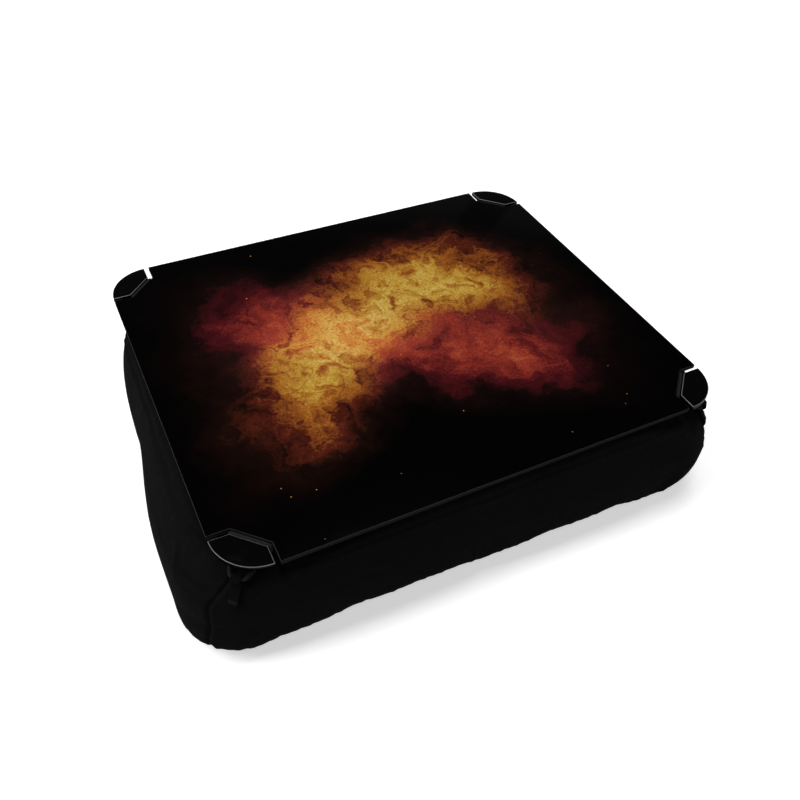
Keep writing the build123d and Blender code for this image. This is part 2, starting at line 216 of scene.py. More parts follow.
class ElasticSettings(bpy.types.PropertyGroup):
    """Elastic loops and their webbing tabs."""

    radius: a_length("Radius", "Half the elastic's thickness", 1.4)
    strands: IntProperty(name="Strands", description="Braid strands each way round", default=8)
    braid_pitch: a_length("Braid pitch", "Length of one braid repeat", 2.4)
    braid_relief: a_length("Braid relief", "Depth between the strands", 0.14)
    colour: a_colour("Elastic colour", "Braided elastic", 0.014, 0.014, 0.0155)
    tab_width: a_length("Tab width", "Width of the webbing", 7)
    tab_thickness: a_length("Tab thickness", "One layer of the webbing", 1)
    tab_colour: a_colour("Tab colour", "Woven webbing", 0.0032, 0.0032, 0.0035)
    thread_colour: a_colour("Thread colour", "Bar tacks and stitches", 0.014, 0.014, 0.015)


class ZipSettings(bpy.types.PropertyGroup):
    """Zip in the back wall."""

    facing_height: a_length("Facing height", "Folded cloth strip beside the zip", 12)
    facing_thickness: a_length("Facing thickness", "Folded cloth's thickness", 1.2)
    stitch_length: a_length("Stitch length", "Topstitch along the facing", 3.2)
    tape_colour: a_colour("Tape colour", "Woven zip tape", 0.008, 0.008, 0.009)
    teeth_colour: a_colour("Teeth colour", "Moulded teeth", 0.012, 0.012, 0.013)
    metal_colour: a_colour("Metal colour", "Enamelled slider, pull, stops", 0.035, 0.035, 0.038)


class StageSettings(bpy.types.PropertyGroup):
    """Camera, lights and floor."""

    camera_place: FloatVectorProperty(
        name="Camera", description="Camera's place", subtype="TRANSLATION",
        default=(-0.2363, -0.4526, 0.5243),
    )
    azimuth: an_angle("Azimuth", "Turn of the view about the vertical", -28.08)
    pitch: an_angle("Pitch", "How far the camera looks down", 44.62)
    roll: an_angle("Roll", "Turn about the view axis", 2.80)
    lens: FloatProperty(name="Lens", description="Focal length in millimetres", default=36.42)
    floor_colour: a_colour("Floor colour", "Floor and backdrop", 0.93, 0.93, 0.93)
    floor_reach: a_length("Floor reach", "Radius of the floor", 6000)
    wall_height: a_length("Backdrop height", "Height of the backdrop round the floor", 2600)
    world_level: FloatProperty(name="World", description="Strength of the sky", default=0.04)


class TraySettings(bpy.types.PropertyGroup):
    """All settings of the lap tray."""

    board: PointerProperty(type=BoardSettings)
    cap: PointerProperty(type=CapSettings)
    cushion: PointerProperty(type=CushionSettings)
    elastic: PointerProperty(type=ElasticSettings)
    zip: PointerProperty(type=ZipSettings)
    stage: PointerProperty(type=StageSettings)


# Lines and sections

def unit(vectors):
    """Vectors of length one, along the last axis."""
    return vectors / np.linalg.norm(vectors, axis=-1, keepdims=True)


def distances(line):
    """How far along a line each of its points lies."""
    return np.concatenate([[0], np.cumsum(np.linalg.norm(np.diff(line, axis=0), axis=1))])


def between(where, known, values):
    """Rows of values, known at some distances, read between them at others."""
    return np.stack([np.interp(where, known, column) for column in values.T], axis=-1)


def blunt(wave, power):
    """A wave drawn towards one and minus one, which flattens the sides of a section."""
    return np.sign(wave) * np.abs(wave) ** power


def fade(values, nought, one):
    """How far values have come from nought's place to one's, held between the two."""
    return np.clip((values - nought) / (one - nought), 0, 1)


def hill(distance, width):
    """A bell curve of a distance: one at nought."""
    return np.exp(-((distance / width) ** 2))


def net(across, along):
    """Flat coordinates for a grid of columns and rows."""
    return np.stack(np.meshgrid(across, along), axis=-1)


def tube_grid(path, radius, sides, closed, aside):
    """Points of a tube: at each point of the path a circle square to it. Its first spoke is the
    cross product of the path's direction and aside, which is never in line with the path. radius
    is a number or an array of rows by sides."""
    ahead = np.roll(path, -1, 0) - path
    behind = path - np.roll(path, 1, 0)
    if not closed:
        ahead[-1], behind[0] = behind[-1], ahead[0]
    along = unit(unit(ahead) + unit(behind))
    spoke = unit(np.cross(along, aside))
    side = np.cross(along, spoke)
    angle = np.linspace(0, TURN, sides, endpoint=False)[None, :, None]
    reach = np.broadcast_to(radius, (len(path), sides))[..., None]
    return path[:, None] + (spoke[:, None] * np.cos(angle) + side[:, None] * np.sin(angle)) * reach


def rounded_path(corners, radii, spacing):
    """Even points round a closed path: straight runs joined by tangent arcs of given radii."""
    points = []
    for number, (here, radius) in enumerate(zip(corners, radii)):
        inwards = unit(here - corners[number - 1])
        away = unit(corners[(number + 1) % len(corners)] - here)
        turn = math.acos(np.clip(inwards @ away, -1, 1))
        start = here - inwards * (radius * math.tan(turn / 2))
        normal = unit(away - inwards * math.cos(turn))
        sweep = np.linspace(0, turn, 12)[:, None]
        points.append(start + radius * (inwards * np.sin(sweep) + normal * (1 - np.cos(sweep))))
    line = np.vstack([*points, points[0][:1]])
    length = distances(line)
    even = np.linspace(0, length[-1], max(4, round(length[-1] / spacing)) + 1)
    return between(even[:-1], length, line)


# Meshes and pieces

def read(items, name):
    """A vector of each of a mesh's vertices or faces, as an array."""
    values = np.zeros(len(items) * 3)
    items.foreach_get(name, values)
    return values.reshape(-1, 3)


def outwards(mesh):
    """Turns a closed mesh's faces outwards, by the sign of its volume."""
    work = bmesh.new()
    work.from_mesh(mesh)
    if work.calc_volume(signed=True) < 0:
        bmesh.ops.reverse_faces(work, faces=work.faces)
        work.to_mesh(mesh)
    work.free()


def grid_mesh(name, points, wrap_rows=False, caps=(False, False), uv=None):
    """Mesh of points in rows and columns that close round: each four neighbours are a face, and a
    cap closes an end row with a fan to its mean point. uv has one more column than points, and
    one more row where the rows wrap."""
    rows, columns = points.shape[:2]
    row = np.arange(rows if wrap_rows else rows - 1)[:, None]
    column = np.arange(columns)
    steps = [(0, 0), (0, 1), (1, 1), (1, 0)]
    quads = [(row + r) % rows * columns + (column + c) % columns for r, c in steps]
    faces = np.stack(quads, axis=-1).reshape(-1, 4).tolist()
    places = points.reshape(-1, 3)
    flat = []
    if uv is not None:
        flat = [np.stack([uv[row + r, column + c] for r, c in steps], axis=2).reshape(-1, 2)]
    ahead = (column + 1) % columns
    for end, capped in zip((0, rows - 1), caps):
        if capped:
            first, second = (column, ahead) if end else (ahead, column)
            pole = np.full(columns, len(places))
            fan = [pole, end * columns + first, end * columns + second]
            faces += np.stack(fan, axis=-1).tolist()
            places = np.vstack([places, points[end].mean(0)])
            if uv is not None:
                flat.append(np.tile(uv[end].mean(0), (3 * columns, 1)))
    mesh = bpy.data.meshes.new(name)
    mesh.from_pydata(places.tolist(), [], faces)
    if uv is not None:
        layer = mesh.uv_layers.new(name="cloth")
        layer.data.foreach_set("uv", np.vstack(flat).ravel())
    outwards(mesh)
    mesh.shade_smooth()
    return mesh


def join(name, meshes):
    """One mesh of several."""
    work = bmesh.new()
    for mesh in meshes:
        work.from_mesh(mesh)
        bpy.data.meshes.remove(mesh)
    whole = bpy.data.meshes.new(name)
    work.to_mesh(whole)
    work.free()
    return whole


def link(name, data):
    """A new object at the origin, in the scene."""
    piece = bpy.data.objects.new(name, data)
    bpy.context.scene.collection.objects.link(piece)
    return piece


def dress(piece, *materials):
    """The piece, with these materials in place of any others."""
    piece.data.materials.clear()
    for material in materials:
        piece.data.materials.append(material)
    return piece


def grid_piece(name, points, *materials, **options):
    """A new piece with a grid's mesh and its materials."""
    return dress(link(name, grid_mesh(name, points, **options)), *materials)


def smooth_copy(node, name, angle):
    """A copy of a CAD node with its doubles merged and its curved faces shaded smooth."""
    work = bmesh.new()
    work.from_mesh(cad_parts[node].data)
    bmesh.ops.remove_doubles(work, verts=work.verts, dist=0.002 * MM)
    mesh = bpy.data.meshes.new(name)
    work.to_mesh(mesh)
    work.free()
    mesh.shade_smooth()
    mesh.set_sharp_from_angle(angle=angle)
    piece = link(name, mesh)
    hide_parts(node)
    return piece


# Shader nodes

def add(tree, kind, inputs=None, **settings):
    """Adds a node, sets its settings, and sets or wires its inputs."""
    node = tree.nodes.new(kind)
    for name, value in settings.items():
        setattr(node, name, value)
    for name, value in (inputs or {}).items():
        if isinstance(value, bpy.types.NodeSocket):
            tree.links.new(value, node.inputs[name])
        else:
            node.inputs[name].default_value = value
    return node


def wire(tree, node, **sockets):
    """Wires sockets to a node's inputs, named with underscores for spaces."""
    for label, socket in sockets.items():
        tree.links.new(socket, node.inputs[label.replace("_", " ")])


def calc(tree, operation, *values, **settings):
    """The result of one math node."""
    inputs = dict(enumerate(values))
    return add(tree, "ShaderNodeMath", inputs, operation=operation, **settings).outputs[0]


def vector(tree, operation, *values):
    """The result of one vector math node."""
    inputs = dict(enumerate(values))
    return add(tree, "ShaderNodeVectorMath", inputs, operation=operation).outputs[0]


def blend_colour(tree, share, *colours, kind="MIX"):
    """The result of one colour mix; its second colour takes over as share goes to one."""
    first, second = (
        value if isinstance(value, bpy.types.NodeSocket) else (*value[:3], 1) for value in colours
    )
    inputs = {0: share, 6: first, 7: second}
    return add(tree, "ShaderNodeMix", inputs, data_type="RGBA", blend_type=kind).outputs[2]


def noise(tree, place, scale, detail=3.0, rough=0.5, distortion=0.0, output="Fac"):
    """A noise texture's value. Its features measure about one metre over its scale."""
    return add(tree, "ShaderNodeTexNoise", {
        "Vector": place, "Scale": scale, "Detail": detail, "Roughness": rough,
        "Distortion": distortion,
    }).outputs[output]


def ramp(tree, value, stops):
    """A colour ramp over positions and colours."""
    node = add(tree, "ShaderNodeValToRGB", {"Fac": value})
    elements = node.color_ramp.elements
    while len(elements) < len(stops):
        elements.new(0.5)
    for element, (position, colour) in zip(elements, stops):
        element.position = position
        element.color = (*colour, 1)
    return node.outputs["Color"]


def span(tree, value, low, high, to_low=0.0, to_high=1.0):
    """A value's place between two limits, eased and held inside them."""
    return add(
        tree, "ShaderNodeMapRange",
        {"Value": value, "From Min": low, "From Max": high, "To Min": to_low, "To Max": to_high},
        interpolation_type="SMOOTHSTEP",
    ).outputs["Result"]


def bump(tree, height, distance, **normal):
    """A bump of a real depth in metres."""
    inputs = {"Height": height, "Distance": distance, "Strength": 1.0, **normal}
    return add(tree, "ShaderNodeBump", inputs).outputs["Normal"]


def object_place(tree):
    """Object coordinates."""
    return add(tree, "ShaderNodeTexCoord").outputs["Object"]


def new_group(name, inputs, outputs):
    """A shader node group with a Place, numbers in and numbers out, and its two end nodes."""
    group = bpy.data.node_groups.new(name, "ShaderNodeTree")
    group.interface.new_socket("Place", in_out="INPUT", socket_type="NodeSocketVector")
    for label, value in inputs.items():
        socket = group.interface.new_socket(label, in_out="INPUT", socket_type="NodeSocketFloat")
        socket.default_value = value
    for label in outputs:
        group.interface.new_socket(label, in_out="OUTPUT", socket_type="NodeSocketFloat")
    return group, group.nodes.new("NodeGroupInput").outputs, group.nodes.new("NodeGroupOutput")


def weave_group():
    """Plain weave: bumps where a thread passes over, from the product of two sines. Its Shade
    output is partly painted shade, light on the threads' crowns and dark in the dips between them,
    and partly random slub tone.
    """
    name = "Plain weave"
    if name in bpy.data.node_groups:
        return bpy.data.node_groups[name]
    group, start, end = new_group(name, {"Pitch": 0.0005, "Slub": 0.3}, ("Height", "Shade"))
    parts = add(group, "ShaderNodeSeparateXYZ", {0: start["Place"]}).outputs
    turn = calc(group, "DIVIDE", math.pi, start["Pitch"])
    across, along = (
        calc(group, "SINE", calc(group, "MULTIPLY", parts[axis], turn)) for axis in (0, 1)
    )
    bumps = calc(group, "MULTIPLY_ADD", calc(group, "MULTIPLY", across, along), 0.5, 0.5)
    slub = noise(group, start["Place"], 1 / (4 * MM), detail=4)
    # Shade is painted shade from the weave's bumps, plus real slub tone
    wire(
        group, end,
        Height=calc(group, "MULTIPLY_ADD", slub, start["Slub"], bumps),
        Shade=calc(group, "MULTIPLY_ADD", bumps, 0.5, calc(group, "MULTIPLY", slub, 0.7)),
    )
    return group


def wear_group():
    """Patchy handling marks and dust: two sizes of noise, cut to a share of the surface."""
    name = "Handling wear"
    if name in bpy.data.node_groups:
        return bpy.data.node_groups[name]
    group, start, end = new_group(name, {"Size": 0.03, "Share": 0.4}, ("Mask", "Fine"))
    scale = calc(group, "DIVIDE", 1.0, start["Size"])
    broad = noise(group, start["Place"], scale, 5.0, 0.62)
    low = calc(group, "SUBTRACT", 0.75, calc(group, "MULTIPLY", start["Share"], 0.5))
    wire(
        group, end,
        Mask=span(group, broad, low, calc(group, "ADD", low, 0.2)),
        Fine=noise(group, start["Place"], calc(group, "MULTIPLY", scale, 14.0)),
    )
    return group


def wear(tree, place, size, share):
    """The mask and the fine noise of handling wear."""
    inputs = {"Place": place, "Size": size, "Share": share}
    node = add(tree, "ShaderNodeGroup", inputs, node_tree=wear_group())
    return node.outputs["Mask"], node.outputs["Fine"]


# Materials

def new_material(name, **constants):
    """A material with one Principled BSDF, its plain values set on its own sockets."""
    material = bpy.data.materials.new(name)
    material.use_nodes = True
    tree = material.node_tree
    shader = tree.nodes["Principled BSDF"]
    for label, value in constants.items():
        shader.inputs[label.replace("_", " ")].default_value = value
    return material, tree, shader


def woven_material(name, colour, pitch, relief, from_object=False):
    """Woven cloth: a plain weave with slubs, faded a little where it is handled. Its colour carries
    painted shade from the weave: darker between the threads, lighter on their crowns.
    """
    material, tree, shader = new_material(
        name, Sheen_Weight=0.01, Sheen_Roughness=0.45, Specular_IOR_Level=0.025
    )
    solid = object_place(tree)
    cloth = solid if from_object else add(tree, "ShaderNodeUVMap", uv_map="cloth").outputs["UV"]
    inputs = {"Place": cloth, "Pitch": pitch, "Slub": 0.3}
    weave = add(tree, "ShaderNodeGroup", inputs, node_tree=weave_group()).outputs
    mask, fine = wear(tree, solid, 0.06, 0.45)
    dark = [part * 0.62 for part in colour]
    light = [min(1, part * 1.5) for part in colour]
    faded = [min(1, part * 1.5 + 0.001) for part in colour]
    # Painted shade: the weave's Shade darkens the dips between threads and lightens their crowns;
    # its slub part is real tone
    base = blend_colour(tree, weave["Shade"], dark, light)
    wire(
        tree, shader,
        Base_Color=blend_colour(tree, calc(tree, "MULTIPLY", mask, 0.35), base, faded),
        Roughness=span(tree, fine, 0.3, 0.7, 0.78, 0.92),
        Normal=bump(tree, weave["Height"], relief, Normal=bump(tree, fine, relief * 0.6)),
    )
    return material


def moulded_material(name, colour, roughness, grain, specular=0.2):
    """Moulded plastic: fine orange peel, a few handling marks and dust in them."""
    material, tree, shader = new_material(name, Specular_IOR_Level=specular)
    solid = object_place(tree)
    mask, _ = wear(tree, solid, 0.02, 0.35)
    dusty = [part + 0.004 for part in colour]
    wire(
        tree, shader,
        Base_Color=blend_colour(tree, calc(tree, "MULTIPLY", mask, 0.3), colour, dusty),
        Roughness=span(tree, mask, 0.0, 1.0, roughness, roughness + 0.1),
        Normal=bump(tree, noise(tree, solid, 1 / (1.2 * MM), detail=2), grain),
    )
    return material


def metal_material(name, colour, roughness, metallic):
    """Metal or enamel, rubbed a little lighter in patches."""
    material, tree, shader = new_material(name, Metallic=metallic)
    mask, fine = wear(tree, object_place(tree), 0.004, 0.4)
    rubbed = [min(1, part * 1.6 + 0.02) for part in colour]
    wire(
        tree, shader,
        Base_Color=blend_colour(tree, calc(tree, "MULTIPLY", mask, 0.5), colour, rubbed),
        Roughness=span(tree, fine, 0.3, 0.7, roughness * 0.8, roughness * 1.3),
        Normal=bump(tree, fine, 0.01 * MM),
    )
    return material


def fibre_material(name, colour):
    """Fibreboard: pressed fibres as fine streaks along the board, with darker flecks."""
    material, tree, shader = new_material(name, Specular_IOR_Level=0.3)
    solid = object_place(tree)
    streaks = noise(tree, vector(tree, "MULTIPLY", solid, (1, 1, 9)), 1 / (3 * MM), 5, 0.7)
    flecks = span(tree, noise(tree, solid, 1 / (0.6 * MM), detail=2), 0.6, 0.75, 0, 0.6)
    base = blend_colour(tree, streaks, colour, [part * 1.9 + 0.003 for part in colour])
    wire(
        tree, shader,
        Base_Color=blend_colour(tree, flecks, base, [part * 0.4 for part in colour]),
        Roughness=span(tree, streaks, 0.3, 0.7, 0.6, 0.85),
        Normal=bump(tree, streaks, 0.08 * MM),
    )
    return material


def print_material(settings):
    """Printed film: smoke and embers along two crossing waves on black, with drifting sparks.

    A point's place is shaken by noise, its distance from a wave's line gives the plume's body,
    and a billowed noise gives the folds in it."""
    material, tree, shader = new_material("Printed film", Specular_IOR_Level=0.05)
    solid = object_place(tree)
    flat = vector(tree, "MULTIPLY", solid, (1, 1, 0))
    shake = noise(tree, flat, 11.0, 6.0, 0.6, output="Color")
    push = vector(tree, "SUBTRACT", shake, (0.5, 0.5, 0.5))
    moved = vector(tree, "ADD", flat, vector(tree, "MULTIPLY", push, (0.11, 0.11, 0.11)))
    x, y, _ = add(tree, "ShaderNodeSeparateXYZ", {0: moved}).outputs

    def wave(height, rate, start, width):
        """Body of a plume: one on a sine line over X, falling off over its width and its ends."""
        angle = calc(tree, "MULTIPLY_ADD", x, rate, start)
        line = calc(tree, "MULTIPLY", calc(tree, "SINE", angle), height)
        off = calc(tree, "ABSOLUTE", calc(tree, "SUBTRACT", y, line))
        return calc(tree, "MULTIPLY", span(tree, off, 0.0, width, 1.0, 0.0), reach)

    far = settings.plume_scale
    reach = span(tree, calc(tree, "ABSOLUTE", x), far * 0.35, far, 1.0, 0.0)
    folds = noise(tree, moved, 34.0, 8.0, 0.62, 0.7)
    billow = calc(tree, "ABSOLUTE", calc(tree, "MULTIPLY_ADD", folds, 2.0, -1.0))
    billow = calc(tree, "SUBTRACT", 1.0, calc(tree, "MULTIPLY", billow, 2.2), use_clamp=True)
    grain = calc(tree, "MULTIPLY_ADD", noise(tree, flat, 1 / (2.2 * MM), 4, 0.7), 0.9, 0.55)
    gold = calc(tree, "MULTIPLY_ADD", billow, 0.6, 0.3)
    gold = calc(tree, "MULTIPLY", wave(0.05, 14.0, 0.9, 0.105), gold)
    red = calc(tree, "MULTIPLY_ADD", folds, 1.2, 0.05)
    red = calc(tree, "MULTIPLY", wave(-0.06, 12.0, 0.2, 0.095), red)
    fire = ramp(tree, calc(tree, "MULTIPLY", gold, grain), [
        (0.0, (0.0004, 0.0003, 0.0003)), (0.16, (0.009, 0.003, 0.002)),
        (0.34, (0.075, 0.012, 0.006)), (0.56, (0.28, 0.085, 0.012)),
        (0.78, (0.45, 0.26, 0.035)), (1.0, (0.62, 0.47, 0.13)),
    ])
    ember = ramp(tree, calc(tree, "MULTIPLY", red, grain), [
        (0.0, (0.0004, 0.0003, 0.0003)), (0.2, (0.006, 0.002, 0.002)),
        (0.42, (0.065, 0.006, 0.008)), (0.7, (0.26, 0.03, 0.018)), (1.0, (0.42, 0.11, 0.035)),
    ])
    cells = add(tree, "ShaderNodeTexVoronoi", {"Vector": flat, "Scale": 95.0})
    near = calc(tree, "LESS_THAN", cells.outputs["Distance"], 0.05)
    some = span(tree, noise(tree, flat, 1 / 0.05, detail=1), 0.52, 0.62)
    spark = calc(tree, "MULTIPLY", calc(tree, "MULTIPLY", near, some), reach)
    base = blend_colour(tree, 1.0, fire, ember, kind="SCREEN")
    mask, _ = wear(tree, solid, 0.05, 0.4)
    wire(
        tree, shader,
        Base_Color=blend_colour(tree, spark, base, (0.9, 0.4, 0.06)),
        Roughness=span(tree, mask, 0, 1, 0.14, 0.2),
        Normal=bump(tree, noise(tree, solid, 1 / (2 * MM), detail=2), 0.004 * MM),
    )
    return material


# Board

def board_outline(settings, inset):
    """Board outline moved in by inset: each side shifts along its own normal and is met again
    with its neighbours, so that every corner stays a corner."""
    reach, leg = settings.notch_reach, settings.notch_leg
    notch = [(0, reach), (leg, reach), (reach, leg), (reach, 0)]
    corners = np.array([
        (side * (HALF_WIDTH - along), end * (HALF_DEPTH - across))
        for side, end in ((-1, -1), (1, -1), (1, 1), (-1, 1))
        for along, across in notch[:: side * end]
    ])
    run = unit(np.roll(corners, -1, 0) - corners)
    normal = np.stack([-run[:, 1], run[:, 0]], axis=-1)
    before, before_normal = np.roll(run, 1, 0), np.roll(normal, 1, 0)
    share = (1 - (before_normal * normal).sum(1)) / (before * normal).sum(1)
    return corners + inset * (before_normal + before * share[:, None])


def board_layer(name, settings, low, high, top_round, low_round, *materials):
    """A board layer: its outline carried up a profile that is a quarter round at either edge."""
    rise = np.linspace(0, np.pi / 2, 5)
    falls, rises = 1 - np.sin(rise), 1 - np.cos(rise)
    insets = np.concatenate([low_round * falls, top_round * rises])
    heights = np.concatenate([low + low_round * rises, high - top_round * falls])
    outlines = np.array([board_outline(settings, inset) for inset in insets])
    z = np.broadcast_to(heights[:, None, None], (*outlines.shape[:2], 1))
    rows = np.concatenate([outlines, z], axis=-1)
    piece = grid_piece(name, rows, *materials, caps=(True, True))
    piece.data.set_sharp_from_angle(angle=math.radians(30))
    return piece


def edge_faces(mesh, level, height):
    """Gives the second material to the faces above a height whose normals aren't near upright."""
    steep = np.abs(read(mesh.polygons, "normal")[:, 2]) < level
    rim = steep & (read(mesh.polygons, "center")[:, 2] > height)
    mesh.polygons.foreach_set("material_index", rim.astype(np.int32))


class TRAY_OT_board(bpy.types.Operator):
    """Add the board: stained fibreboard core, printed film and backing sheet"""

    bl_idname = "tray.board"
    bl_label = "Board"

    def execute(self, context):
        settings = context.scene.lap_tray.board
        film = board_layer(
            "print_film", settings, FILM_LOW.z, FILM_HIGH.z, 0.16 * MM, SHARP_ROUND,
            print_material(settings),
            moulded_material("Cut film edge", settings.cut_colour, 0.4, FINE_GRAIN),
        )
        edge_faces(film.data, 0.95, BOARD_LOW.z)
        core = board_layer(
            "board_core_edge", settings, BOARD_LOW.z, BOARD_HIGH.z, SHARP_ROUND,
            settings.edge_round, fibre_material("Stained fibreboard", settings.edge_colour),
        )
        under = board_layer(
            "backing_film", settings, BACKING_LOW.z, BACKING_HIGH.z, SHARP_ROUND, 0.1 * MM,
            moulded_material("Backing film", settings.backing_colour, 0.6, 0.02 * MM, 0.3),
        )
        for piece, node, slot in (
            (film, "print_sheet", "print_film"),
            (core, "board_core", "board_core"),
            (under, "backing_sheet", "backing_sheet"),
        ):
            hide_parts(node)
            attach(piece, "tray")
        return {"FINISHED"}


class TRAY_OT_caps(bpy.types.Operator):
    """Add the four glossy moulded corner caps, with a painted highlight on their edge rounding, and
    finish their screws
    """

    bl_idname = "tray.caps"
    bl_label = "Corner caps"

    def execute(self, context):
        settings = context.scene.lap_tray.cap
        gloss = moulded_material("Glossy cap", settings.colour, settings.roughness, FINE_GRAIN)
        # Painted highlight: the second material paints a bright line round each pad's top edge
        rim = moulded_material("Painted highlight edge", settings.edge_colour, 0.3, FINE_GRAIN)
        for corner in CORNERS:
            cap = smooth_copy(f"corner_cap_{corner}", f"cap_{corner}", settings.smooth_angle)
            dress(cap, gloss, rim)
            # The steep faces of the pads' top rounding take the painted highlight colour
            edge_faces(cap.data, 0.97, BOARD_TOP - settings.highlight_rim_height)
            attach(cap, "tray")
        zinc = metal_material("Zinc screw", (0.62, 0.62, 0.6), 0.35, 1.0)
        dress(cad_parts["cap_screws"], zinc)
        return {"FINISHED"}


# Cushion

def cushion_outline(out, radius, columns):
    """Points of level rounded rectangles, one row for each out and radius. Each eighth runs from
    the middle of a side to a corner's seam, closer together towards the seam, and the first
    column is the front left seam."""
    out, radius = out[:, None], radius[:, None]
    half_x, half_y = HALF_WIDTH + out, HALF_DEPTH + out
    share = 1 - (1 - np.linspace(0, 1, columns + 1)[None, :]) ** 1.3

    def half_side(straight):
        """Along and in, from the middle of a side to its corner's seam."""
        run = share * (straight + radius * np.pi / 4)
        angle = np.clip((run - straight) / radius, 0, np.pi / 4)
        along = np.where(run < straight, run, straight + radius * np.sin(angle))
        return along, radius * (1 - np.cos(angle))

    front_along, front_in = half_side(half_x - radius)
    side_along, side_in = half_side(half_y - radius)
    front = np.stack([front_along, -half_y + front_in], axis=-1)
    right = np.stack([half_x - side_in, -side_along], axis=-1)
    quarter = np.concatenate([front, right[:, -2::-1]], axis=1)
    back = quarter[:, ::-1] * (1, -1)
    right_half = np.concatenate([quarter, back[:, 1:]], axis=1)
    left_half = right_half[:, ::-1] * (-1, 1)
    around = np.concatenate([right_half, left_half[:, 1:-1]], axis=1)
    return np.roll(around, columns, axis=1)


def cushion_rows(settings):
    """Heights, outs, radii and shrinks of the cushion's rows, from the top's middle to the
    bottom's. The wall above and below the waist is a quarter of a super-ellipse."""
    rows = []
    for angles, power, reach, draw_in, end_radius in (
        (np.linspace(np.pi / 2, 0, UPPER_ROWS), UPPER_POWER, COVER_TOP - settings.waist,
         settings.top_draw_in, settings.top_radius),
        (np.linspace(0, np.pi / 2, LOWER_ROWS)[1:], LOWER_POWER, COVER_LOW - settings.waist,
         settings.bottom_draw_in, settings.bottom_radius),
    ):
        short = 1 - np.cos(angles) ** (2 / power)
        height = settings.waist + reach * np.sin(angles) ** (2 / power)
        out = settings.bulge - (settings.bulge + draw_in) * short
        radius = settings.waist_radius + (end_radius - settings.waist_radius) * short
        rows.append(np.stack([height, out, radius], axis=-1))
    rings = np.linspace(0.06, 1, RINGS)[:-1]
    top = np.repeat(rows[0][:1], len(rings), 0)
    bottom = np.repeat(rows[1][-1:], len(rings), 0)
    wall = np.ones(len(rows[0]) + len(rows[1]))
    return *np.concatenate([top, *rows, bottom]).T, np.concatenate([rings, wall, rings[::-1]])


def cushion_surface(settings, inset=0.0):
    """Grid of the cushion's rows and columns, moved in by inset, before any cloth simulation."""
    heights, outs, radii, shrinks = cushion_rows(settings)
    outline = cushion_outline(outs - inset, radii - inset, 2 * settings.columns)
    level = outline * shrinks[:, None, None]
    middle = (COVER_TOP + COVER_LOW) / 2
    squeeze = 1 - 2 * inset / (COVER_TOP - COVER_LOW)
    z = np.broadcast_to((middle + (heights - middle) * squeeze)[:, None], level.shape[:2])
    return np.concatenate([level, z[..., None]], axis=-1)


def lean(points):
    """Shifts the cushion as it lies under the board in use: turned a little at its front, with its
    front left corner pushed out and its back left one drawn in. Each shift is a bell curve of the
    distance from its centre, seen from above. The top stays with the board, and but for that back
    corner the back wall stays with the zip."""
    z = points[..., 2]
    low = fade(z, COVER_TOP, COVER_TOP - 0.35 * (COVER_TOP - COVER_LOW)) ** 1.5
    free = 1 / (1 + np.exp((points[..., 1] - 0.105) / 0.016))
    shares = {
        "wall": low * free,
        "foot": fade(z, 40 * MM, 10 * MM) * free,
        "back corner": fade(z, COVER_TOP, COVER_TOP - 9 * MM),
        "back wall": low,
    }
    moved = points.copy()
    for axis, far, centre, spread, part in LEANS:
        off = (points[..., :2] - centre) / spread
        moved[..., axis] += far * shares[part] * np.exp(-(off ** 2).sum(-1))
    return moved


def zip_trough(points):
    """Presses the back wall in behind the zip's tapes, where the facing strips cover it."""
    behind = TAPE_LOW.y - 0.4 * MM
    across = fade(np.abs(points[..., 0]), ZIP_END + 8 * MM, ZIP_END)
    level = fade(np.abs(points[..., 2] - ZIP_HEIGHT), 16.5 * MM, 12.5 * MM)
    share = (across * level) ** 1.5 * (points[..., 1] > 0)
    moved = points.copy()
    moved[..., 1] += share * np.minimum(behind - moved[..., 1], 0)
    return moved


def bead_lumps(points):
    """Slow unevenness of a bead filling: a few sine waves over the surface, seeded."""
    draw = np.random.default_rng(7)
    waves = 9
    height = np.zeros(points.shape[:-1])
    for _ in range(waves):
        direction = unit(draw.normal(size=3))
        length = draw.uniform(0.05, 0.14)
        height += np.sin(points @ direction * TURN / length + draw.uniform(0, 6.28))
    return height / waves


def cloth_uv(points):
    """Cloth coordinates in metres: round the wall and down it, and flat over top and bottom."""
    around = np.concatenate([points, points[:, :1]], axis=1)
    waist = np.argmax(np.abs(points[..., 0]).max(1))
    wall = net(distances(around[waist]), distances(points[:, points.shape[1] // 8]))
    top = (around[..., 2] > PANEL_TOP) | (around[..., 2] < PANEL_LOW)
    return np.where(top[..., None], around[..., :2], wall)


def pin_weights(points):
    """How firmly each point is held in the simulation: under the board, on the floor, at the zip
    and behind the tabs."""
    x, y, z = points[..., 0], points[..., 1], points[..., 2]
    board = fade(z, COVER_TOP - 3.5 * MM, COVER_TOP - 0.5 * MM)
    floor = fade(z, COVER_LOW + 3 * MM, COVER_LOW + 0.5 * MM)
    across = fade(np.abs(x), ZIP_END + 20 * MM, ZIP_END + 5 * MM)
    level = fade(np.abs(z - ZIP_HEIGHT), 26 * MM, 18 * MM)
    zone = across * level * (y > 0.15)
    off = (HALF_WIDTH + HALF_DEPTH - np.abs(x) - np.abs(y)) / math.sqrt(2)
    aside = np.abs(HALF_WIDTH - HALF_DEPTH - np.abs(x) + np.abs(y)) / math.sqrt(2)
    tab = fade(aside, 14 * MM, 6 * MM) * fade(z, 52 * MM, 60 * MM) * (off < 60 * MM)
    return np.maximum.reduce([board, floor, zone, tab])


